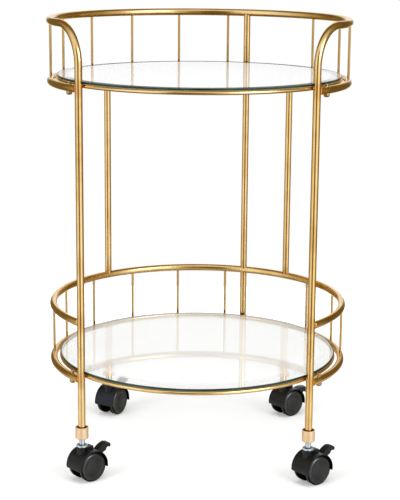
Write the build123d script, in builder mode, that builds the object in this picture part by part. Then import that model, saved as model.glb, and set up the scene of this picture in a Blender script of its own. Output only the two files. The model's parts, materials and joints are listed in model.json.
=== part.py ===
from build123d import *
from math import atan2, cos, degrees, radians, sin, sqrt
import os

os.makedirs("parts", exist_ok=True)

# A round two-tier bar cart: X to its right, Y to its back, Z up from the floor, in millimetres.
# Plan angles in degrees are measured from the back of the cart, positive towards its right.

# Tubes, rods and glass
tube_diameter = 12.0
tube_wall = 1.2
post_diameter = 11.2
rod_diameter = 4.0
hoop_diameter = 6.0
glass_thickness = 4.0
glass_edge = 0.8

# Round plan
ring_radius = 240.0
leg_inset = 3.0
glass_gap = 1.0
leg_angle = 130.2
rear_left_angle = -43.0
rear_right_angle = 40.0
back_post_angle = 19.3
rod_first_angle = -93.0
rod_pitch_angle = 20.8
rod_places = 10
rod_place_left_out = 6

# Heights: shelves at the top of the glass, and the rings and rails, at the middle of the tube, from there
upper_shelf_height = 641.0
lower_shelf_height = 180.0
ring_drop = 10.5
upper_gallery_rise = 85.5
lower_gallery_rise = 83.0

# Bends of the top rail down into the front legs
bend_radius = 62.0
lead_radius = 130.0
splice_straight = 12.0
joiner_length = 24.0
plug_clearance = 0.15

# Nubs between the hoops and the rings
nub_diameter = 4.0
nub_angles = (-75.0, 0.0, 75.0)

# Bolted ends of the rings
ring_setback = 3.0
spigot_length = 36.0
bolt_setback = 22.0
bolt_diameter = 4.0
bolt_clearance = 0.25
bolt_head_diameter = 9.4
bolt_head_height = 4.6
bolt_head_round = 2.8
nut_diameter = 5.6
nut_height = 3.4

# Feet: collars, stems and washers
collar_diameter = 21.0
collar_length = 19.0
collar_mouth = 2.4
collar_round = 1.6
leg_seat = 10.0
stem_seat = 8.0
stem_diameter = 9.6
stem_reveal = 10.7
stem_depth = 24.0
stem_end_gap = 0.3
cup_diameter = 18.4
cup_height = 3.4
cup_wall = 1.2
cup_floor = 1.2
cup_round = 0.9
cup_gap = 0.3

# Casters
wheel_diameter = 49.0
wheel_width = 11.0
wheel_dome = 1.2
wheel_round = 1.8
wheel_inner_round = 0.8
wheel_gap = 16.0
wheel_clearance = 1.0
web_clearance = 0.35
caster_trail = 10.0
hood_wall = 1.7
hood_lip = 1.0
hood_round = 0.7
hood_front_angle = 188.0
hood_rear_angle = -9.0
neck_diameter = 17.0
neck_rise = 5.2
neck_round = 1.2
spine_length = 18.0
spine_width = 13.0
spine_drop = 0.6
spine_round = 1.0
axle_diameter = 6.0
axle_boss_diameter = 14.0
axle_seat = 8.0
axle_end_gap = 0.4
running_clearance = 0.05

# Brake levers, given from the middle of the lever pin
lever_width = 12.0
lever_side_gap = 0.4
lever_boss_radius = 3.6
lever_boss_start = 135.0
lever_boss_sweep = 160.0
lever_crown_reach = 17.4
lever_crown_rise = 16.4
lever_back_reach = 6.2
lever_back_rise = 11.0
lever_brow_reach = 23.8
lever_brow_rise = 15.0
lever_tip_reach = 28.0
lever_tip_rise = 11.4
lever_nose_reach = 25.6
lever_nose_rise = 7.6
lever_hook_reach = 22.6
lever_hook_rise = 8.9
lever_heel_reach = 18.4
lever_heel_rise = 4.4
lever_throw = 25.0
lever_pin_diameter = 3.0
lever_pin_depth = 6.2
lever_pin_angle = 42.0
slot_front_gap = 0.8
slot_floor_drop = 6.5

# Way that each caster points: the plan direction from its stem to its wheels, from the X axis
front_left_heading = 42.0
front_right_heading = 39.0
rear_left_heading = 60.0
rear_right_heading = 40.0

# Sizes that follow
tube_radius = tube_diameter / 2
tube_bore = tube_diameter - 2 * tube_wall
post_bore = post_diameter - 2 * tube_wall
plug_diameter = tube_bore - 2 * plug_clearance
leg_radius = ring_radius - leg_inset
hoop_radius = leg_radius - tube_radius - hoop_diameter / 2
glass_radius = leg_radius - tube_radius - glass_gap
hoop_reach = hoop_radius + hoop_diameter / 2
ring_reach = ring_radius + tube_radius
ring_axis_y = (hoop_reach - ring_reach) / 2
upper_ring_z = upper_shelf_height - ring_drop
lower_ring_z = lower_shelf_height - ring_drop
top_rail_height = upper_shelf_height + upper_gallery_rise
lower_rail_height = lower_shelf_height + lower_gallery_rise
splice_z = top_rail_height - bend_radius - splice_straight
ring_end_angle = leg_angle - degrees(ring_setback / ring_radius)
spigot_angle = leg_angle - degrees(spigot_length / ring_radius)
bolt_angle = leg_angle - degrees(bolt_setback / ring_radius)
rod_angles = [
    rod_first_angle + place * rod_pitch_angle
    for place in range(rod_places)
    if place != rod_place_left_out
]

wheel_radius = wheel_diameter / 2
pocket_radius = wheel_radius + wheel_clearance
hood_radius = pocket_radius + hood_wall
hood_width = wheel_gap + 2 * wheel_width + 2 * hood_lip
web_width = wheel_gap - 2 * web_clearance
neck_top = wheel_radius + hood_radius + neck_rise
stem_bottom = neck_top - stem_depth
cup_bottom = neck_top + cup_gap
collar_bottom = cup_bottom + cup_height + stem_reveal
collar_top = collar_bottom + collar_length
leg_bottom = collar_top - leg_seat
stem_top = collar_bottom + stem_seat
axle_length = wheel_gap + 2 * axle_seat - 2 * axle_end_gap


def plan_point(radius, angle, height=0.0):
    turn = radians(angle)
    return Vector(radius * sin(turn), ring_axis_y + radius * cos(turn), height)


def outward(angle):
    return Vector(sin(radians(angle)), cos(radians(angle)), 0)


def save(piece, name):
    piece.part.label = name
    export_step(piece.part, f"parts/{name}.step")


def tube_section(path):
    with BuildSketch(Plane(path.line @ 0, z_dir=path.line % 0)) as section:
        Circle(tube_radius)
        Circle(tube_bore / 2, mode=Mode.SUBTRACT)
    return section


def cut_for_tube_round(height):
    with Locations((0, ring_axis_y, height)):
        Torus(ring_radius, tube_radius, mode=Mode.SUBTRACT)


def cut_for_legs(height):
    with Locations(*[plan_point(leg_radius, side * leg_angle, height) for side in (-1, 1)]):
        Cylinder(tube_radius, 2 * tube_diameter, mode=Mode.SUBTRACT)


def cut_for_bolts(height):
    with Locations(*[plan_point(ring_radius, side * bolt_angle, height) for side in (-1, 1)]):
        Cylinder(bolt_diameter / 2 + bolt_clearance, 2 * tube_diameter, mode=Mode.SUBTRACT)


# Top rail: a ring arc that runs through a tighter lead-in arc into a quarter bend and down to the splice.
# The bend stands in an upright plane, turned in from the ring's tangent so far that all the arcs are tangent.
lead_ratio = bend_radius / lead_radius
lead_start = (bend_radius**2 - ring_radius**2 + leg_radius**2) / (2 * bend_radius)
lead_middle = ring_radius * lead_ratio - lead_start
lead_root = sqrt(lead_middle**2 - (lead_ratio**2 + 1) * (lead_start**2 + ring_radius**2 - leg_radius**2))
leg_back = lead_start + (lead_middle - lead_root) / (lead_ratio**2 + 1)
foot_distance = sqrt(leg_radius**2 - leg_back**2)
foot_angle = leg_angle - degrees(atan2(leg_back, foot_distance))
merge_angle = foot_angle - degrees(atan2(bend_radius - leg_back, foot_distance - lead_radius))
rail_heading = Vector(-cos(radians(foot_angle)), sin(radians(foot_angle)), 0)
bend_top = plan_point(foot_distance, foot_angle, top_rail_height) + rail_heading * (bend_radius - leg_back)
bend_foot = plan_point(leg_radius, leg_angle, top_rail_height - bend_radius)

with BuildPart() as top_rail:
    with BuildLine() as rail_path:
        splice = plan_point(leg_radius, leg_angle, splice_z)
        Line(splice, bend_foot)
        TangentArc(bend_foot, bend_top, tangent=(0, 0, 1))
        merge = plan_point(ring_radius, merge_angle, top_rail_height)
        TangentArc(bend_top, merge, tangent=rail_heading)
        halfway = plan_point(ring_radius, merge_angle / 2, top_rail_height)
        ThreePointArc(merge, halfway, plan_point(ring_radius, 0, top_rail_height))
    sweep(sections=tube_section(rail_path).sketch)
    mirror(about=Plane.YZ)
save(top_rail, "top_rail")

# Front legs: straight tubes from the collars to the splice, with plugs that join them to the top rail.
for side_name, side in (("left", -1), ("right", 1)):
    with BuildPart() as front_leg:
        with BuildSketch(Plane(plan_point(leg_radius, side * leg_angle, leg_bottom))):
            Circle(tube_radius)
            Circle(tube_bore / 2, mode=Mode.SUBTRACT)
        extrude(amount=splice_z - leg_bottom)
    save(front_leg, f"front_leg_{side_name}")

with BuildPart() as leg_joiners:
    with Locations(*[plan_point(leg_radius, side * leg_angle, splice_z) for side in (-1, 1)]):
        Cylinder(plug_diameter / 2, joiner_length)
save(leg_joiners, "leg_joiners")


# Rings and lower rail: tube arcs round the left, back and right, shaped to butt on the front legs.
def tube_arc(height, bolted):
    with BuildPart() as arc:
        with BuildLine(Plane.XY.offset(height)) as path:
            CenterArc((0, ring_axis_y), ring_radius, 90 - ring_end_angle, 2 * ring_end_angle)
        sweep(sections=tube_section(path).sketch)
        cut_for_legs(height)
        if bolted:
            cut_for_bolts(height)
    return arc


save(tube_arc(upper_ring_z, bolted=True), "upper_ring")
save(tube_arc(lower_ring_z, bolted=True), "lower_ring")
save(tube_arc(lower_rail_height, bolted=False), "lower_rail")

# Spigots: bars on the front legs that the ring ends slide over.
with BuildPart() as ring_spigots:
    for height in (upper_ring_z, lower_ring_z):
        for side in (-1, 1):
            with BuildLine(Plane.XY.offset(height)) as spigot_path:
                CenterArc((0, ring_axis_y), ring_radius, 90 - side * ring_end_angle,
                          side * (ring_end_angle - spigot_angle))
            with BuildSketch(Plane(spigot_path.line @ 0, z_dir=spigot_path.line % 0)):
                Circle(plug_diameter / 2)
            sweep()
        cut_for_legs(height)
        cut_for_bolts(height)
save(ring_spigots, "ring_spigots")

# Bolts up through the ring ends, with domed heads below and nuts above, both shaped to the tube.
with BuildPart() as ring_bolts:
    shank_length = tube_diameter + nut_height
    for height in (upper_ring_z, lower_ring_z):
        places = [plan_point(ring_radius, side * bolt_angle, height - tube_radius) for side in (-1, 1)]
        for place in places:
            with BuildSketch(Plane(place).offset(-bolt_head_height)):
                Circle(bolt_head_diameter / 2)
            extrude(amount=bolt_head_height + tube_radius)
            rim = ring_bolts.faces(Select.LAST).sort_by(Axis.Z)[0].edges()
            fillet(rim, radius=bolt_head_round)
        cut_for_tube_round(height)
        with Locations(*places):
            Cylinder(bolt_diameter / 2, shank_length, align=(Align.CENTER, Align.CENTER, Align.MIN))
save(ring_bolts, "ring_bolts")

with BuildPart() as ring_nuts:
    for height in (upper_ring_z, lower_ring_z):
        places = [plan_point(ring_radius, side * bolt_angle, height) for side in (-1, 1)]
        for place in places:
            with BuildSketch(Plane(place)):
                Circle(nut_diameter / 2)
                Circle(bolt_diameter / 2, mode=Mode.SUBTRACT)
            extrude(amount=tube_radius + nut_height)
        cut_for_tube_round(height)
save(ring_nuts, "ring_nuts")


# Hoops: full wire circles that the glass lies on, held off the rings by short nubs.
def hoop(shelf_height):
    hoop_z = shelf_height - glass_thickness - hoop_diameter / 2
    with BuildPart() as wire:
        with Locations((0, ring_axis_y, hoop_z)):
            Torus(hoop_radius, hoop_diameter / 2)
        for angle in nub_angles:
            with BuildSketch(Plane(plan_point(hoop_radius, angle, hoop_z), z_dir=outward(angle))):
                Circle(nub_diameter / 2)
            extrude(amount=ring_radius - hoop_radius)
        cut_for_tube_round(shelf_height - ring_drop)
    return wire


# Glass discs, lying inside the front legs with their sharp edges taken off.
def glass_disc(shelf_height):
    with BuildPart() as disc:
        with BuildSketch(Plane((0, ring_axis_y, shelf_height - glass_thickness))):
            Circle(glass_radius)
        extrude(amount=glass_thickness)
        chamfer(disc.edges().filter_by(GeomType.CIRCLE), length=glass_edge)
    return disc


for tier, shelf_height in (("upper", upper_shelf_height), ("lower", lower_shelf_height)):
    save(hoop(shelf_height), f"{tier}_hoop")
    save(glass_disc(shelf_height), f"{tier}_glass")


# Rods of a gallery: thin uprights between a ring and the rail above it.
def gallery_rods(ring_z, rail_z):
    with BuildPart() as rods:
        with BuildSketch(Plane.XY.offset(ring_z)):
            with Locations(*[plan_point(ring_radius, angle) for angle in rod_angles]):
                Circle(rod_diameter / 2)
        extrude(amount=rail_z - ring_z)
        cut_for_tube_round(ring_z)
        cut_for_tube_round(rail_z)
    return rods


save(gallery_rods(upper_ring_z, top_rail_height), "upper_rods")
save(gallery_rods(lower_ring_z, lower_rail_height), "lower_rods")


# Posts: upright tubes shaped at both ends to sit on the round tubes that they join.
def post(angle, bottom_z, top_z):
    with BuildPart() as upright:
        with BuildSketch(Plane(plan_point(ring_radius, angle, bottom_z))):
            Circle(post_diameter / 2)
            Circle(post_bore / 2, mode=Mode.SUBTRACT)
        extrude(amount=top_z - bottom_z)
        cut_for_tube_round(bottom_z)
        cut_for_tube_round(top_z)
    return upright


save(post(back_post_angle, upper_ring_z, top_rail_height), "back_post_upper")
save(post(back_post_angle, lower_rail_height, upper_ring_z), "back_post_middle")
save(post(back_post_angle, lower_ring_z, lower_rail_height), "back_post_lower")
save(post(rear_left_angle, lower_rail_height, upper_ring_z), "rear_post_left")
save(post(rear_right_angle, lower_rail_height, upper_ring_z), "rear_post_right")

# Rear stubs: short tubes that carry the lower ring on the rear casters.
for side_name, angle in (("left", rear_left_angle), ("right", rear_right_angle)):
    with BuildPart() as rear_stub:
        with BuildSketch(Plane(plan_point(ring_radius, angle, leg_bottom))):
            Circle(tube_radius)
            Circle(tube_bore / 2, mode=Mode.SUBTRACT)
        extrude(amount=lower_ring_z - leg_bottom)
        cut_for_tube_round(lower_ring_z)
    save(rear_stub, f"rear_stub_{side_name}")


# Collar: a turned sleeve with a countersunk mouth for the tube above and a bore for the stem below.
def foot_collar(place):
    with BuildPart() as collar:
        with BuildSketch(Plane(place + Vector(0, 0, collar_bottom))):
            Circle(collar_diameter / 2)
        extrude(amount=collar_length)
        fillet(collar.faces().sort_by(Axis.Z)[0].edges(), radius=collar_round)
        with BuildSketch(Plane(place + Vector(0, 0, leg_bottom))):
            Circle(tube_radius)
        extrude(amount=leg_seat, mode=Mode.SUBTRACT)
        mouth = collar.edges().filter_by(GeomType.CIRCLE).group_by(Axis.Z)[-1].sort_by(SortBy.RADIUS)[0]
        chamfer(mouth, length=collar_mouth)
        with BuildSketch(Plane(place + Vector(0, 0, collar_bottom))):
            Circle(stem_diameter / 2)
        extrude(amount=stem_seat, mode=Mode.SUBTRACT)
    return collar


# Stem: a plain zinc pin, fixed in the collar, that the caster turns on.
def caster_stem(place):
    with BuildPart() as stem:
        with BuildSketch(Plane(place + Vector(0, 0, stem_bottom))):
            Circle(stem_diameter / 2)
        extrude(amount=stem_top - stem_bottom)
    return stem


# Hood: a fender over both wheels with a web between them, a neck for the stem, a spine behind the neck and
# a slot for the lever.
def caster_hood(side_plane, place):
    with BuildPart() as hood:
        with BuildSketch(side_plane):
            with BuildLine():
                fender = CenterArc((caster_trail, wheel_radius), hood_radius, hood_rear_angle,
                                   hood_front_angle - hood_rear_angle)
                Polyline(fender @ 1, (caster_trail, wheel_radius), fender @ 0)
            make_face()
        extrude(amount=hood_width / 2, both=True)
        rims = [edge for edge in hood.edges().filter_by(GeomType.CIRCLE) if edge.radius > pocket_radius]
        fillet(rims, radius=hood_round)
        with BuildSketch(Plane(place + Vector(0, 0, wheel_radius))):
            Circle(neck_diameter / 2)
        extrude(amount=neck_top - wheel_radius)
        fillet(hood.faces().sort_by(Axis.Z)[-1].edges(), radius=neck_round)
        spine_plane = Plane(place + Vector(0, 0, neck_top - spine_drop), side_plane.x_dir, Vector(0, 0, 1))
        spine_depth = neck_top - wheel_radius
        with BuildPart(spine_plane, mode=Mode.PRIVATE) as spine:
            Box(spine_length, spine_width, spine_depth, align=(Align.MIN, Align.CENTER, Align.MAX))
            fillet(spine.faces().sort_by(Axis.Z)[-1].edges(), radius=spine_round)
        add(spine.part)
        for way in (-1, 1):
            with BuildSketch(side_plane.offset(way * web_width / 2)):
                with Locations((caster_trail, wheel_radius)):
                    Circle(pocket_radius)
            extrude(amount=way * hood_width, mode=Mode.SUBTRACT)
        with BuildSketch(side_plane):
            with Locations((caster_trail, wheel_radius)):
                Circle(axle_boss_diameter / 2)
        extrude(amount=web_width / 2, both=True)
        with BuildSketch(side_plane):
            with Locations((caster_trail, wheel_radius)):
                Circle(axle_diameter / 2)
            with Locations(lever_pin_place):
                Circle(lever_pin_diameter / 2)
        extrude(amount=hood_width, both=True, mode=Mode.SUBTRACT)
        with BuildSketch(Plane(place + Vector(0, 0, neck_top))):
            Circle(stem_diameter / 2 + running_clearance)
        extrude(amount=-(stem_depth + stem_end_gap), mode=Mode.SUBTRACT)
        with BuildSketch(side_plane):
            with Locations(lever_pin_place - Vector(lever_boss_radius + slot_front_gap, slot_floor_drop)):
                Rectangle(hood_radius, hood_radius, align=(Align.MIN, Align.MIN))
        extrude(amount=lever_width / 2 + lever_side_gap, both=True, mode=Mode.SUBTRACT)
    return hood


# Wheel: a smooth black roller with a slightly domed outer face, rounded edges and a blind bore for the axle.
def caster_wheel(side_plane, way):
    middle = side_plane.from_local_coords((caster_trail, wheel_radius))
    inner = wheel_gap / 2
    outer = inner + wheel_width
    bore_radius = axle_diameter / 2 + running_clearance
    bore_end = inner + axle_seat
    with BuildPart() as wheel:
        with BuildSketch(Plane(middle, x_dir=(0, 0, 1), z_dir=side_plane.x_dir * way)) as half:
            with BuildLine():
                Polyline((wheel_radius, outer - wheel_dome), (wheel_radius, inner), (bore_radius, inner),
                         (bore_radius, bore_end), (0, bore_end), (0, outer))
                TangentArc((0, outer), (wheel_radius, outer - wheel_dome), tangent=(1, 0))
            make_face()
            fillet(half.vertices().group_by(Axis.X)[-1].sort_by(Axis.Y)[0], radius=wheel_inner_round)
            fillet(half.vertices().group_by(Axis.X)[-1].sort_by(Axis.Y)[-1], radius=wheel_round)
        revolve(axis=Axis(middle, side_plane.z_dir))
    return wheel


# Axle and lever pin: round bars across the caster.
def cross_pin(side_plane, middle, diameter, length):
    with BuildPart() as pin:
        with BuildSketch(side_plane):
            with Locations(middle):
                Circle(diameter / 2)
        extrude(amount=length / 2, both=True)
    return pin


# Brake lever: a hooked foot pedal on the lever pin, raised, or pressed down by its throw.
def brake_lever(side_plane, pressed):
    throw = -lever_throw if pressed else 0.0
    lever_way = side_plane.x_dir.rotate(Axis((0, 0, 0), side_plane.z_dir), throw)
    lever_plane = Plane(side_plane.from_local_coords(lever_pin_place), lever_way, side_plane.z_dir)
    crown = (lever_crown_reach, lever_crown_rise)
    tip = (lever_tip_reach, lever_tip_rise)
    nose = (lever_nose_reach, lever_nose_rise)
    heel = (lever_heel_reach, lever_heel_rise)
    with BuildPart() as lever:
        with BuildSketch(lever_plane):
            with BuildLine():
                boss = CenterArc((0, 0), lever_boss_radius, lever_boss_start, lever_boss_sweep)
                ThreePointArc(boss @ 0, (lever_back_reach, lever_back_rise), crown)
                ThreePointArc(crown, (lever_brow_reach, lever_brow_rise), tip)
                Line(tip, nose)
                ThreePointArc(nose, (lever_hook_reach, lever_hook_rise), heel)
                Line(heel, boss @ 1)
            make_face()
            Circle(lever_pin_diameter / 2 + running_clearance, mode=Mode.SUBTRACT)
        extrude(amount=lever_width / 2, both=True)
    return lever


lever_pin_radius = hood_radius - lever_pin_depth
lever_pin_place = Vector(
    caster_trail + lever_pin_radius * cos(radians(lever_pin_angle)),
    wheel_radius + lever_pin_radius * sin(radians(lever_pin_angle)),
)

# The four feet: collar, stem and caster under each front leg and each rear stub.
corners = (
    ("front_left", plan_point(leg_radius, -leg_angle), front_left_heading, False),
    ("front_right", plan_point(leg_radius, leg_angle), front_right_heading, False),
    ("rear_left", plan_point(ring_radius, rear_left_angle), rear_left_heading, False),
    ("rear_right", plan_point(ring_radius, rear_right_angle), rear_right_heading, True),
)

for corner, place, heading, pressed in corners:
    trail_way = Vector(cos(radians(heading)), sin(radians(heading)), 0)
    side_plane = Plane(place, x_dir=trail_way, z_dir=trail_way.cross(Vector(0, 0, 1)))
    axle_place = Vector(caster_trail, wheel_radius)
    save(foot_collar(place), f"{corner}_collar")
    save(caster_stem(place), f"{corner}_stem")
    save(caster_hood(side_plane, place), f"{corner}_hood")
    save(caster_wheel(side_plane, -1), f"{corner}_wheel_left")
    save(caster_wheel(side_plane, 1), f"{corner}_wheel_right")
    save(cross_pin(side_plane, axle_place, axle_diameter, axle_length), f"{corner}_axle")
    save(cross_pin(side_plane, lever_pin_place, lever_pin_diameter, web_width), f"{corner}_lever_pin")
    save(brake_lever(side_plane, pressed), f"{corner}_brake_lever")

# Washers: dished cups on the stems, just above the necks of the hoods.
with BuildPart() as stem_washers:
    feet = [place for corner, place, heading, pressed in corners]
    with BuildSketch(Plane.XY.offset(cup_bottom)):
        with Locations(*feet):
            Circle(cup_diameter / 2)
    extrude(amount=cup_height)
    fillet(stem_washers.edges().group_by(Axis.Z)[0], radius=cup_round)
    with BuildSketch(Plane.XY.offset(cup_bottom + cup_floor)):
        with Locations(*feet):
            Circle(cup_diameter / 2 - cup_wall)
    extrude(amount=cup_height, mode=Mode.SUBTRACT)
    with BuildSketch(Plane.XY.offset(cup_bottom)):
        with Locations(*feet):
            Circle(stem_diameter / 2)
    extrude(amount=cup_height, mode=Mode.SUBTRACT)
save(stem_washers, "stem_washers")
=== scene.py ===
import json
import math

import bmesh
import bpy
from mathutils import Matrix, Vector


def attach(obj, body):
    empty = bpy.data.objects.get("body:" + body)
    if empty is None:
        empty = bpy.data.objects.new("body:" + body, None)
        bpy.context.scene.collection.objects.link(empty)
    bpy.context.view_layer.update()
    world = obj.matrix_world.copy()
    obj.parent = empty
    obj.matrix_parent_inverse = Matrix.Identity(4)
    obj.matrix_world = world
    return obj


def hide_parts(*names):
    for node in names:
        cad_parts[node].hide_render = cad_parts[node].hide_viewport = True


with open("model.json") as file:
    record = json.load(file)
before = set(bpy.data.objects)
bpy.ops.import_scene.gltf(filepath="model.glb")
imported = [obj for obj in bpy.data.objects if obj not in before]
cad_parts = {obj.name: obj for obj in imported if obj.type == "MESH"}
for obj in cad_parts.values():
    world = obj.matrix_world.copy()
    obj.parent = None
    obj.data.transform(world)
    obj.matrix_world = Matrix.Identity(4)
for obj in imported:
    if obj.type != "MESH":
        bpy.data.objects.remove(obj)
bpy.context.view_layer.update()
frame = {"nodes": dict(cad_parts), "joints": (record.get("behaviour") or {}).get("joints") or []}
nodes = frame["nodes"]

# The camera stands a little over two metres in front of the open side of the galleries, above the top rail,
# and looks slightly down with a long lens, so the round shelves show as flat ovals.
camera_place = (0.0404, -2.3620, 0.8681)
camera_yaw = math.radians(-0.906)
camera_pitch = math.radians(12.449)
camera_roll = math.radians(0.471)
lens_in_frame_heights = 2.9012
camera_data = bpy.data.cameras.new("front_camera")
camera_data.sensor_fit = "VERTICAL"
camera_data.lens = lens_in_frame_heights * camera_data.sensor_height
camera = bpy.data.objects.new("front_camera", camera_data)
camera_turn = (Matrix.Rotation(-camera_yaw, 4, "Z")
               @ Matrix.Rotation(math.pi / 2 - camera_pitch, 4, "X")
               @ Matrix.Rotation(camera_roll, 4, "Z"))
camera.matrix_world = Matrix.Translation(camera_place) @ camera_turn
bpy.context.scene.collection.objects.link(camera)
bpy.context.scene.camera = camera
bpy.context.scene.view_settings.view_transform = "Standard"


# The studio is white, with tall soft boxes left and right of the camera and one overhead. Rays from the camera
# and through glass see white, while polished metal also sees the dim gaps between the soft boxes.
class Shade:
    """A socket of a node tree, with the operators that add Math nodes to it."""

    def __init__(self, tree, socket=None):
        self.tree = tree
        self.socket = socket

    def add(self, kind, settings=None, sockets=None, out=0):
        made = self.tree.nodes.new(kind)
        for name, value in (settings or {}).items():
            if name == "stops":
                ramp = made.color_ramp
                while len(ramp.elements) < len(value):
                    ramp.elements.new(1.0)
                for element, (place, colour) in zip(ramp.elements, value):
                    element.position = place
                    element.color = (*colour, 1.0)
            else:
                setattr(made, name, value)
        for name, value in (sockets or {}).items():
            if isinstance(value, Shade):
                self.tree.links.new(value.socket, made.inputs[name])
            else:
                made.inputs[name].default_value = value
        return Shade(self.tree, made.outputs[out] if made.outputs else None)

    def math(self, operation, first, second=0.0):
        return self.add("ShaderNodeMath", {"operation": operation}, {0: first, 1: second})

    def __add__(self, other):
        return self.math("ADD", self, other)

    def __radd__(self, other):
        return self.math("ADD", other, self)

    def __sub__(self, other):
        return self.math("SUBTRACT", self, other)

    def __rsub__(self, other):
        return self.math("SUBTRACT", other, self)

    def __mul__(self, other):
        return self.math("MULTIPLY", self, other)

    def __rmul__(self, other):
        return self.math("MULTIPLY", other, self)


def split(shade, vector):
    first = shade.add("ShaderNodeSeparateXYZ", None, {0: vector})
    return [Shade(shade.tree, socket) for socket in first.socket.node.outputs]


def ray(shade, kind):
    return shade.add("ShaderNodeLightPath", out=kind)


def smooth_step(shade, value, start, end, low, high):
    return shade.add("ShaderNodeMapRange", {"interpolation_type": "SMOOTHSTEP"},
                     {0: value, 1: start, 2: end, 3: low, 4: high})


def blend(shade, share, first, second, way="MIX"):
    return shade.add("ShaderNodeMix", {"data_type": "RGBA", "blend_type": way},
                     {0: share, 6: first, 7: second}, out=2)


def graded(shade, share, *stops):
    return shade.add("ShaderNodeValToRGB", {"stops": stops}, {"Fac": share})


white = (1, 1, 1, 1)
dark_floor = (0.17, 0.12, 0.035, 1)
overhead_bright = (1.02, 1.08, 1.22, 1)
overhead_dim = (0.20, 0.15, 0.06, 1)
fill_strength = 0.55
overhead_rise = (0.45, 0.78)
overhead_depth = (-0.45, 0.30)
under_rise = (-0.70, -0.38)
world = bpy.data.worlds.new("studio")
bpy.context.scene.world = world
world.use_nodes = True
world.node_tree.nodes.clear()
sky = Shade(world.node_tree)
way_x, way_y, way_up = split(sky, sky.add("ShaderNodeTexCoord", out="Generated"))
round_turn = sky.math("ARCTAN2", way_x, -1 * way_y) * (0.5 / math.pi) + 0.5
boxes = graded(
    sky, round_turn,
    (0.00, (1.00, 1.00, 1.00)),
    (0.03, (1.00, 1.00, 1.00)),
    (0.06, (0.20, 0.145, 0.045)),
    (0.16, (0.20, 0.145, 0.045)),
    (0.23, (0.60, 0.56, 0.40)),
    (0.29, (0.88, 0.90, 0.96)),
    (0.36, (1.22, 1.30, 1.50)),
    (0.41, (1.10, 1.17, 1.34)),
    (0.44, (0.18, 0.13, 0.04)),
    (0.48, (0.18, 0.13, 0.04)),
    (0.53, (0.45, 0.40, 0.24)),
    (0.58, (1.36, 1.46, 1.74)),
    (0.65, (1.44, 1.55, 1.85)),
    (0.70, (0.78, 0.76, 0.70)),
    (0.77, (0.36, 0.29, 0.14)),
    (0.84, (0.16, 0.115, 0.035)),
    (0.94, (0.20, 0.145, 0.045)),
    (0.97, (1.00, 1.00, 1.00)),
)
overhead = smooth_step(sky, way_up, *overhead_rise, 0.0, 1.0)
overhead_front = smooth_step(sky, way_y, *overhead_depth, 1.0, 0.0)
under = smooth_step(sky, way_up, *under_rise, 1.0, 0.0)
top_box = blend(sky, overhead_front, overhead_dim, overhead_bright)
room = blend(sky, under, blend(sky, overhead, boxes, top_box), dark_floor)
white_sky = sky.add("ShaderNodeBackground", None, {"Color": white, "Strength": 1.0})
glossy_sky = sky.add("ShaderNodeBackground", None, {"Color": room, "Strength": 1.0})
fill_sky = sky.add("ShaderNodeBackground", None, {"Color": white, "Strength": fill_strength})
lit = sky.add("ShaderNodeMixShader", None, {"Fac": ray(sky, "Is Glossy Ray"), 1: fill_sky, 2: glossy_sky})
seen = sky.math("MAXIMUM", ray(sky, "Is Camera Ray"), ray(sky, "Is Transmission Ray"))
shown = sky.add("ShaderNodeMixShader", None, {"Fac": seen, 1: lit, 2: white_sky})
sky.add("ShaderNodeOutputWorld", None, {"Surface": shown})

lamp_target = Vector((0, 0, 0.4))
for name, place, size, power, mirrored in (
    ("left_box", (-1.7, -1.6, 1.7), 1.2, 26.0, False),
    ("right_box", (1.7, -1.6, 1.7), 1.4, 26.0, True),
    ("top_box", (0.0, -0.2, 2.6), 1.6, 22.0, False),
):
    lamp_data = bpy.data.lights.new(name, "AREA")
    lamp_data.shape = "SQUARE"
    lamp_data.size = size
    lamp_data.energy = power
    lamp = bpy.data.objects.new(name, lamp_data)
    lamp.visible_glossy = mirrored
    aim = lamp_target - Vector(place)
    lamp.matrix_world = Matrix.Translation(place) @ aim.to_track_quat("-Z", "Y").to_matrix().to_4x4()
    bpy.context.scene.collection.objects.link(lamp)


# The floor is a sheet of matt white paper that keeps the soft shadows of the cart and brightens away from it.
# Polished metal sees it only close by, and looks past it into the dim studio.
def new_material(name):
    material = bpy.data.materials.new(name)
    material.use_nodes = True
    material.node_tree.nodes.clear()
    return material, Shade(material.node_tree)


def own_place(shade):
    return shade.add("ShaderNodeTexCoord", out="Object")


def place_mesh(name, mesh, *materials):
    data = bpy.data.meshes.new(name)
    mesh.to_mesh(data)
    mesh.free()
    for material in materials:
        data.materials.append(material)
    piece = bpy.data.objects.new(name, data)
    bpy.context.scene.collection.objects.link(piece)
    return piece


floor_half_width = 1.15
paper_tone = (0.84, 0.84, 0.84, 1)
lift_reach, lift_near, lift_far = (0.30, 1.05), 0.20, 0.72
mirror_reach = (0.35, 0.9)
floor_material, paper = new_material("white_sweep")
paper_lit = paper.add("ShaderNodeBsdfDiffuse", None, {"Color": paper_tone})
paper_reach = paper.add("ShaderNodeVectorMath", {"operation": "LENGTH"}, {0: own_place(paper)}, out="Value")
paper_lift = smooth_step(paper, paper_reach, *lift_reach, lift_near, lift_far)
paper_seen = paper.math("MAXIMUM", ray(paper, "Is Camera Ray"), ray(paper, "Is Transmission Ray"))
paper_white = paper.add("ShaderNodeEmission", None, {"Color": paper_lift * paper_seen, "Strength": 1.0})
paper_both = paper.add("ShaderNodeAddShader", None, {0: paper_lit, 1: paper_white})
paper_gone = paper.add("ShaderNodeBsdfTransparent", None, {"Color": white})
paper_far = smooth_step(paper, ray(paper, "Ray Length"), *mirror_reach, 0.5, 1.0)
paper_shown = paper.add("ShaderNodeMixShader", None, {
    "Fac": ray(paper, "Is Glossy Ray") * paper_far, 1: paper_both, 2: paper_gone})
paper.add("ShaderNodeOutputMaterial", None, {"Surface": paper_shown})
floor_mesh = bmesh.new()
bmesh.ops.create_grid(floor_mesh, x_segments=1, y_segments=1, size=floor_half_width)
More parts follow.
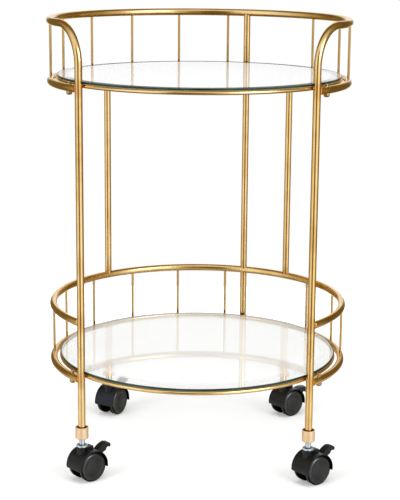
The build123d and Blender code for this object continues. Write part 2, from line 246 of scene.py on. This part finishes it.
floor = place_mesh("floor", floor_mesh, floor_material)

# The top rail and the front legs are brass-plated steel tube with a brushed, aged lacquer. The rail is bent
# down into the legs, and hidden plugs join it to the straight tubes below. Heat has browned the joints.
ring_middle_y = -0.0075
ring_radius = 0.240
upper_ring_z = 0.6305
lower_ring_z = 0.1695
lower_rail_z = 0.263
leg_joints = (upper_ring_z, lower_ring_z, lower_rail_z)
tone_places = (0.30, 0.48, 0.66)
tube_tones = ((0.70, 0.42, 0.135), (0.85, 0.56, 0.220), (0.94, 0.66, 0.300))
# The right leg takes darker, warmer tones, a painted warm reflection from that side.
warm_reflection_tones = ((0.68, 0.40, 0.115), (0.83, 0.53, 0.180), (0.92, 0.62, 0.245))
streak_tone = (0.60, 0.52, 0.42)
heat_tone = (0.78, 0.62, 0.44, 1)
heat_depth = 1.3
heat_reach = (0.006, 0.020)
grain_across, grain_along = 420.0, 26.0
cloud_scale, drift_scale = 34.0, 9.0
grain_height = 0.0003


def dress(material, *names):
    for name in names:
        for place in nodes[name].material_slots:
            place.material = material


def mottle(shade, spot, scale, detail=2.0, roughness=0.5):
    return shade.add("ShaderNodeTexNoise", None, {
        "Vector": spot, "Scale": scale, "Detail": detail, "Roughness": roughness})


def out_from(shade, x, y):
    return shade.math("SQRT", x * x + y * y)


def finish_skin(shade, finish):
    skin = shade.add("ShaderNodeBsdfPrincipled", None, finish)
    shade.add("ShaderNodeOutputMaterial", None, {"Surface": skin})


def aged_brass(name, along_ring, joint_heights, wear, tones):
    material, brass = new_material(name)
    spot = own_place(brass)
    x, y, z = split(brass, spot)
    if along_ring:
        back = y - ring_middle_y
        across, up, run = out_from(brass, x, back), z, brass.math("ARCTAN2", x, back) * ring_radius
    else:
        across, up, run = x, y, z
    grain = brass.add("ShaderNodeCombineXYZ", None, {
        0: across * grain_across, 1: up * grain_across, 2: run * grain_along})
    streaks = mottle(brass, grain, 1.0, 4.0, 0.6)
    clouds = mottle(brass, spot, cloud_scale, 3.0, 0.55)
    drift = mottle(brass, spot, drift_scale)
    tone = graded(brass, clouds * 0.55 + drift * 0.45, *zip(tone_places, tones))
    lines = graded(brass, streaks, (0.35, streak_tone), (0.60, white[:3]))
    colour = blend(brass, wear, tone, lines, "MULTIPLY")
    for height in joint_heights:
        near = smooth_step(brass, brass.math("ABSOLUTE", z - height), *heat_reach, heat_depth, 0.0)
        colour = blend(brass, near * clouds, colour, heat_tone, "MULTIPLY")
    bump = brass.add("ShaderNodeBump", None, {
        "Strength": 0.15 * wear, "Distance": grain_height, "Height": streaks})
    finish_skin(brass, {"Base Color": colour, "Metallic": 1.0, "Normal": bump,
                        "Roughness": 0.09 + streaks * 0.08 + clouds * 0.06})
    return material


dress(aged_brass("rail_brass", True, (), 0.30, tube_tones), "top_rail")
dress(aged_brass("left_leg_brass", False, leg_joints, 0.35, tube_tones), "front_leg_left")
# The right leg's darker, warmer brass is a painted warm reflection from that side.
dress(aged_brass("right_leg_reflection_brass", False, leg_joints, 0.35, warm_reflection_tones), "front_leg_right")

# The plugs inside the legs are plain turned steel bars, and so are the axles and lever pins of the casters.
# They are pressed in, and only their ends can show.
corners = ("front_left", "front_right", "rear_left", "rear_right")
steel_material, steel = new_material("turned_steel")
steel_marks = mottle(steel, own_place(steel), 700.0)
steel_tone = graded(steel, steel_marks, (0.35, (0.34, 0.34, 0.35)), (0.65, (0.56, 0.56, 0.57)))
finish_skin(steel, {"Base Color": steel_tone, "Metallic": 1.0, "Roughness": 0.28 + steel_marks * 0.2})
dress(steel_material, "leg_joiners", *[f"{corner}_axle" for corner in corners],
      *[f"{corner}_lever_pin" for corner in corners])

# The two rings and the lower rail are the same tube rolled round the left, back and right. The ring ends slide
# over spigots on the legs and are bolted there, with a domed head below and a small nut above.
dress(aged_brass("ring_brass", True, (), 0.30, tube_tones),
      "upper_ring", "lower_ring", "lower_rail", "ring_spigots")
bolt_material, bolt = new_material("plated_bolts")
bolt_wear = mottle(bolt, own_place(bolt), 900.0)
bolt_tone = graded(bolt, bolt_wear, (0.35, (0.42, 0.25, 0.09)), (0.65, (0.70, 0.48, 0.22)))
finish_skin(bolt, {"Base Color": bolt_tone, "Metallic": 1.0, "Roughness": 0.24 + bolt_wear * 0.16})
dress(bolt_material, "ring_bolts", "ring_nuts")

# The lower rail is brazed to the legs. A bead of braze closes each open end of its tube beside the leg.
# The section of a bead gives the reach from the middle of the tube and the step past its end.
rail_end_turn = math.radians(129.484)
bead_steps = 48
bead_section = (
    (0.0058, -0.0012), (0.00595, 0.0), (0.0054, 0.0009),
    (0.0040, 0.0015), (0.0020, 0.0018), (0.0, 0.0019),
)
merge_distance = 0.00001


def turn_section(mesh, section, middle, axis, steps):
    points = [mesh.verts.new(middle + axis * step + Vector((0, 0, out))) for out, step in section]
    outline = [mesh.edges.new(pair) for pair in zip(points, points[1:])]
    bmesh.ops.spin(mesh, geom=points + outline, cent=middle, axis=axis, angle=2 * math.pi, steps=steps,
                   use_merge=True)


beads = bmesh.new()
for side in (-1, 1):
    end = Vector((side * ring_radius * math.sin(rail_end_turn),
                  ring_middle_y + ring_radius * math.cos(rail_end_turn), lower_rail_z))
    end_way = Vector((side * math.cos(rail_end_turn), -math.sin(rail_end_turn), 0))
    turn_section(beads, bead_section, end, end_way, bead_steps)
bmesh.ops.remove_doubles(beads, verts=beads.verts, dist=merge_distance)
bmesh.ops.holes_fill(beads, edges=[edge for edge in beads.edges if edge.is_boundary], sides=0)
bmesh.ops.recalc_face_normals(beads, faces=beads.faces)
for face in beads.faces:
    face.smooth = len(face.verts) < 5
braze = aged_brass("braze", False, (lower_rail_z,), 0.35, tube_tones)
rail_end_beads = place_mesh("rail_end_beads", beads, braze)
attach(rail_end_beads, "frame")

# Inside each ring a wire hoop, held off it by short nubs, carries the glass. It is the same plated steel,
# drawn thinner. The rods of the galleries and the posts at the back are welded to the rings in a like finish.
hoop_tones = ((0.76, 0.48, 0.175), (0.91, 0.63, 0.270), (0.97, 0.72, 0.350))
rod_tones = ((0.54, 0.32, 0.080), (0.66, 0.40, 0.120), (0.76, 0.48, 0.160))
dress(aged_brass("hoop_brass", True, (), 0.25, hoop_tones), "upper_hoop", "lower_hoop")
dress(aged_brass("rod_brass", False, (), 0.10, rod_tones), "upper_rods", "lower_rods")
dress(aged_brass("post_brass", False, leg_joints, 0.35, tube_tones),
      "back_post_upper", "back_post_middle", "back_post_lower",
      "rear_post_left", "rear_post_right", "rear_stub_left", "rear_stub_right")

# The shelves are loose discs of clear float glass with ground edges, green when seen from the side. At a low
# slant a white veil is painted in, a painted reflection of the studio, thinner near the rim. Shadow, bounce
# and mirrored rays pass as through plain clear glass.
glass_radius = 0.230
glass_thickness = 0.004
glass_edge = 0.0008
glass_border = 0.0014
glass_segments = 256
glass_ior = 1.45
glass_tint = (0.975, 1.0, 0.99, 1)
glass_shadow_tint = (0.97, 0.985, 0.98, 1)
smudge_scale = 14.0
veil_slant, veil_at_rim = (0.30, 0.70), 0.38
# Near the front and back of the rim a dark line is painted at a low slant, a painted shade.
glass_rim_shade_tone = (0.06, 0.07, 0.06, 1)
glass_rim_shade_depth = 0.90
glass_rim_shade_slant = (0.84, 0.90)
glass_rim_shade_reach = (0.214, 0.220)
glass_rim_shade_ends = (0.05, 0.17)
# The foot of each edge is painted gold-brown, a painted reflection of the brass hoop below.
hoop_reflection_band = (0.0004, 0.0016)
hoop_reflection_tone = (0.34, 0.25, 0.10, 1)
edge_ior = 1.35


def clear_glass(name, border, veil, reflection_veil_tone, reflection_veil_ior):
    material, glass = new_material(name)
    spot = own_place(glass)
    x, y, _ = split(glass, spot)
    back = y - ring_middle_y
    reach = out_from(glass, x, back)
    slant = glass.add("ShaderNodeLayerWeight", None, {"Blend": 0.5}, out="Facing")
    smudge = mottle(glass, spot, smudge_scale, 3.0)
    body = glass.add("ShaderNodeBsdfPrincipled", None, {
        "Base Color": glass_tint, "Roughness": smudge * 0.06, "IOR": glass_ior, "Transmission Weight": 1.0})
    # The pale surface mixed in by the slant is a painted reflection of the studio.
    haze_and_reflection_veil = glass.add("ShaderNodeBsdfPrincipled", None, {
        "Base Color": reflection_veil_tone, "Roughness": smudge * 0.06, "IOR": reflection_veil_ior})
    veiled = smooth_step(glass, slant, *veil_slant, 0.0, veil)
    thinner = smooth_step(glass, reach, *border, 1.0, veil_at_rim)
    reflection_veiled = glass.add("ShaderNodeMixShader", None, {"Fac": veiled * thinner + smudge * 0.04, 1: body, 2: haze_and_reflection_veil})
    # A dark line near the front and back of the rim at a low slant is a painted shade.
    low = smooth_step(glass, slant, *glass_rim_shade_slant, 0.0, glass_rim_shade_depth)
    line = smooth_step(glass, reach, *glass_rim_shade_reach, 0.0, 1.0)
    ends = smooth_step(glass, glass.math("ABSOLUTE", back), *glass_rim_shade_ends, 0.0, 1.0)
    glass_rim_shade = glass.add("ShaderNodeBsdfDiffuse", None, {"Color": glass_rim_shade_tone})
    seen = glass.add("ShaderNodeMixShader", None, {"Fac": low * line * ends, 1: reflection_veiled, 2: glass_rim_shade})
    clear = glass.add("ShaderNodeBsdfTransparent", None, {"Color": glass_shadow_tint})
    mirrored = ray(glass, "Is Glossy Ray") * (1.0 - ray(glass, "Is Transmission Ray"))
    lighting = glass.math("MAXIMUM", ray(glass, "Is Shadow Ray"), ray(glass, "Is Diffuse Ray"))
    passed = glass.math("MAXIMUM", lighting, mirrored)
    both = glass.add("ShaderNodeMixShader", None, {"Fac": passed, 1: seen, 2: clear})
    glass.add("ShaderNodeOutputMaterial", None, {"Surface": both})
    return material


def green_edge(name, bottom):
    material, rim = new_material(name)
    spot = own_place(rim)
    wave = mottle(rim, spot, 26.0)
    green = graded(rim, wave, (0.35, (0.004, 0.016, 0.011)), (0.65, (0.022, 0.060, 0.042)))
    height = split(rim, spot)[2] - bottom
    # The gold-brown foot of the edge is a painted reflection of the brass hoop below.
    low = smooth_step(rim, height, *hoop_reflection_band, 1.0, 0.0)
    tone = blend(rim, low, green, hoop_reflection_tone)
    finish_skin(rim, {"Base Color": tone, "Roughness": 0.16 + wave * 0.1, "IOR": edge_ior})
    return material


for tier, top, border, veil, reflection_veil_tone, reflection_veil_ior in (
    ("upper", 0.641, (0.206, 0.224), 0.84, (0.80, 0.815, 0.82, 1), 1.45),
    ("lower", 0.180, (0.192, 0.214), 0.74, (0.88, 0.885, 0.885, 1), 1.70),
):
    bottom = top - glass_thickness
    disc = bmesh.new()
    bmesh.ops.create_circle(disc, cap_ends=True, segments=glass_segments, radius=glass_radius)
    raised = bmesh.ops.extrude_face_region(disc, geom=disc.faces[:])
    raised_verts = [part for part in raised["geom"] if isinstance(part, bmesh.types.BMVert)]
    bmesh.ops.translate(disc, verts=raised_verts, vec=(0, 0, glass_thickness))
    bmesh.ops.translate(disc, verts=disc.verts, vec=(0, ring_middle_y, bottom))
    bmesh.ops.recalc_face_normals(disc, faces=disc.faces)
    sharp = [edge for edge in disc.edges if edge.calc_face_angle(0.0) > 1.0]
    bmesh.ops.bevel(disc, geom=sharp, offset=glass_edge, segments=3, profile=0.5, affect="EDGES",
                    material=-1)
    top_face = max(disc.faces, key=lambda face: face.calc_center_median().z)
    bmesh.ops.inset_region(disc, faces=[top_face], thickness=glass_border, use_even_offset=True)
    for face in disc.faces:
        flat = abs(face.normal.z) > 0.99
        middle = flat and len(face.verts) > 4
        face.material_index = 0 if middle else 1
        face.smooth = not flat
    glass_disc = place_mesh(f"{tier}_glass_disc", disc,
                            clear_glass(f"{tier}_clear_glass", border, veil, reflection_veil_tone, reflection_veil_ior),
                            green_edge(f"{tier}_green_edge", bottom))
    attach(glass_disc, "frame")
    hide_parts(f"{tier}_glass")

# A turned brass collar, paler and more matt than the tube, is fixed round the foot of each leg and rear stub
# and takes the stem of the caster from below. Its countersunk mouth is painted dark brown, a painted shade.
collar_mouth = (0.0088, 0.0100)
lathe_marks = 1500.0
mouth_shade_brown = (0.16, 0.085, 0.025, 1)
joints = {joint["name"]: joint for joint in frame["joints"]}


def satin_collar(name, axis):
    material, collar = new_material(name)
    spot = own_place(collar)
    x, y, z = split(collar, spot)
    lathe = collar.add("ShaderNodeTexNoise", {"noise_dimensions": "1D"},
                       {"W": z * lathe_marks, "Scale": 1.0, "Detail": 2.0})
    haze_and_reflection_veil = mottle(collar, spot, 120.0)
    tone = graded(collar, lathe * 0.4 + haze_and_reflection_veil * 0.6, (0.30, (0.90, 0.62, 0.34)), (0.70, (1.00, 0.75, 0.48)))
    reach = out_from(collar, x - axis[0], y - axis[1])
    # The countersunk mouth is painted dark brown, a painted shade.
    mouth = smooth_step(collar, reach, *collar_mouth, 1.0, 0.0)
    finish_skin(collar, {"Base Color": blend(collar, mouth, tone, mouth_shade_brown), "Metallic": 0.75,
                         "Roughness": 0.38 + lathe * 0.08 + haze_and_reflection_veil * 0.06})
    return material


for corner in corners:
    stem_axis = joints[f"{corner}_swivel"]["pos_m"]
    dress(satin_collar(f"{corner}_satin_collar", stem_axis), f"{corner}_collar")

# The stems and the dished washers at their feet are zinc-plated steel with a cool, slightly uneven shine.
# The stems are pressed into the collars and carry the hoods below.
zinc_material, zinc = new_material("zinc_plate")
spangle = mottle(zinc, own_place(zinc), 420.0, 3.0)
zinc_tone = graded(zinc, spangle, (0.32, (0.46, 0.51, 0.56)), (0.68, (0.80, 0.84, 0.87)))
finish_skin(zinc, {"Base Color": zinc_tone, "Metallic": 1.0, "Roughness": 0.20 + spangle * 0.14})
dress(zinc_material, "stem_washers", *[f"{corner}_stem" for corner in corners])

# The hood of each caster is one moulding in matt black plastic, a fender over both wheels with a neck that
# turns on the stem. Its inside is painted black, a painted shade.
hood_grain = 2600.0
hood_tint = (0.78, 0.88, 0.97, 1)
hood_wall = (0.0252, 0.0262)
grain_depth = 0.0002
painted_shade_black = (0.002, 0.002, 0.002, 1)


def moulded_black(name, low, high, gloss, tint, grain_size):
    material, plastic = new_material(name)
    spot = own_place(plastic)
    grain = mottle(plastic, spot, grain_size)
    patch = mottle(plastic, spot, 60.0)
    tone = graded(plastic, patch, (0.30, (low, low, low)), (0.70, (high, high, high)))
    bump = plastic.add("ShaderNodeBump", None, {"Strength": 0.10, "Distance": grain_depth, "Height": grain})
    finish = {"Base Color": tone, "Roughness": 0.26 + grain * 0.10, "Specular IOR Level": gloss,
              "Specular Tint": tint, "Normal": bump}
    return material, plastic, finish


def from_axle(plastic, axle):
    off = plastic.add("ShaderNodeVectorMath", {"operation": "SUBTRACT"},
                      {0: own_place(plastic), 1: axle["pos_m"]})
    along = plastic.add("ShaderNodeVectorMath", {"operation": "DOT_PRODUCT"}, {0: off, 1: axle["axis"]},
                        out="Value")
    away = plastic.add("ShaderNodeVectorMath", {"operation": "LENGTH"}, {0: off}, out="Value")
    return plastic.math("SQRT", away * away - along * along), plastic.math("ABSOLUTE", along)


def paint_in_shade(plastic, finish, inside):
    skin = plastic.add("ShaderNodeBsdfPrincipled", None, finish)
    dark = plastic.add("ShaderNodeBsdfDiffuse", None, {"Color": painted_shade_black})
    both = plastic.add("ShaderNodeMixShader", None, {"Fac": inside, 1: skin, 2: dark})
    plastic.add("ShaderNodeOutputMaterial", None, {"Surface": both})


for corner in corners:
    hood_black, shade, finish = moulded_black(
        f"{corner}_hood_plastic", 0.004, 0.009, 0.36, hood_tint, hood_grain)
    reach, _ = from_axle(shade, joints[f"{corner}_wheel_left_spin"])
    # The inside of the hood is painted black, a painted shade.
    paint_in_shade(shade, finish, smooth_step(shade, reach, *hood_wall, 1.0, 0.0))
    dress(hood_black, f"{corner}_hood")

# The wheels are turned smooth: a round tread, a narrow groove inside the rim, a polished shoulder and a flat
# face with a fine ring, which covers the end of the axle. The half section gives the reach from the axle and
# the step from the middle of the pair, and is spun round the axle.
wheel_grain = 1900.0
wheel_tint = (0.96, 0.97, 0.97, 1)
wheel_steps = 96
shoulder_reach, shoulder_roughness = (0.0190, 0.0205), 0.22
# The rim groove and the inner sides of the wheels are painted black, a painted shade.
rim_reach, wheel_rim_shade = (0.0219, 0.0226), 0.95
rim_side = (0.0150, 0.0160)
inner_side, wheel_inner_shade = (0.0120, 0.0135), 0.97
wheel_section = (
    (0.0000, 0.0160), (0.00305, 0.0160), (0.00305, 0.0080), (0.0237, 0.0080), (0.02449, 0.0088),
    (0.02449, 0.0158), (0.0241, 0.0169), (0.0233, 0.0174), (0.0227, 0.0174), (0.0223, 0.0170),
    (0.0219, 0.0173), (0.0212, 0.0181), (0.0203, 0.0186), (0.0190, 0.01885), (0.0180, 0.0189),
    (0.0152, 0.0189), (0.0150, 0.0188), (0.0146, 0.0185), (0.0142, 0.0188), (0.0140, 0.0189),
    (0.0000, 0.0190),
)
for corner in corners:
    axle = joints[f"{corner}_wheel_left_spin"]
    wheel_black, shade, finish = moulded_black(
        f"{corner}_wheel_plastic", 0.004, 0.009, 0.50, wheel_tint, wheel_grain)
    reach, along = from_axle(shade, axle)
    # The groove inside the rim and the inner side of each wheel are painted black, a painted shade.
    rim = smooth_step(shade, reach, *rim_reach, 0.0, wheel_rim_shade)
    outer = smooth_step(shade, along, *rim_side, 0.0, 1.0)
    inner = smooth_step(shade, along, *inner_side, wheel_inner_shade, 0.0)
    finish["Coat Weight"] = smooth_step(shade, reach, *shoulder_reach, 0.0, 1.0)
    finish["Coat Roughness"] = shoulder_roughness
    paint_in_shade(shade, finish, shade.math("MAXIMUM", inner, rim * outer))
    for side, way in (("left", -1), ("right", 1)):
        wheel = bmesh.new()
        turn_section(wheel, [(out, way * step) for out, step in wheel_section],
                     Vector(axle["pos_m"]), Vector(axle["axis"]), wheel_steps)
        bmesh.ops.remove_doubles(wheel, verts=wheel.verts, dist=merge_distance)
        bmesh.ops.recalc_face_normals(wheel, faces=wheel.faces)
        for face in wheel.faces:
            face.smooth = True
        roller = place_mesh(f"{corner}_{side}_roller", wheel, wheel_black)
        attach(roller, f"{corner}_wheel_{side}_body")
        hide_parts(f"{corner}_wheel_{side}")

# The brake levers are moulded in the same black plastic and hook over the hood behind the neck. Three ribs
# across the top of each one give the foot a grip. They are painted paler, a painted highlight on the ridges.
# They lie round its top curve.
curve_forward, curve_up, curve_radius = 0.01805, 0.00404, 0.012376
rib_turns = (86.0, 66.0, 46.0)
rib_size = (0.0020, 0.0096, 0.0018)
rib_edge = 0.0005
pressed_turn = {"rear_right": -25.0}
lever_black, shade, finish = moulded_black("lever_plastic", 0.004, 0.009, 0.42, hood_tint, hood_grain)
finish_skin(shade, finish)
dress(lever_black, *[f"{corner}_brake_lever" for corner in corners])
# The ribs are painted paler than the lever, a painted highlight on the ridges.
rib_black, shade, finish = moulded_black("rib_highlight_plastic", 0.020, 0.045, 0.80, hood_tint, hood_grain)
finish_skin(shade, finish)
for corner in corners:
    pin = joints[f"{corner}_brake"]
    across = Vector(pin["axis"])
    lever_turn = Matrix.Rotation(math.radians(pressed_turn.get(corner, 0.0)), 3, across)
    upward = lever_turn @ Vector((0, 0, 1))
    forward = lever_turn @ Vector((0, 0, 1)).cross(across)
    curve_middle = Vector(pin["pos_m"]) + forward * curve_forward + upward * curve_up
    ribs = bmesh.new()
    for rib_turn in rib_turns:
        out = forward * math.cos(math.radians(rib_turn)) + upward * math.sin(math.radians(rib_turn))
        face_way = Matrix((out.cross(across), across, out)).transposed().to_4x4()
        seat = Matrix.Translation(curve_middle + out * curve_radius)
        bar = bmesh.ops.create_cube(ribs, size=1.0)["verts"]
        bmesh.ops.scale(ribs, verts=bar, vec=rib_size)
        bmesh.ops.transform(ribs, verts=bar, matrix=seat @ face_way)
    bmesh.ops.recalc_face_normals(ribs, faces=ribs.faces)
    bmesh.ops.bevel(ribs, geom=ribs.edges[:], offset=rib_edge, segments=3, profile=0.5, affect="EDGES",
                    material=-1)
    lever_ribs = place_mesh(f"{corner}_lever_ribs", ribs, rib_black)
    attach(lever_ribs, f"{corner}_lever_body")
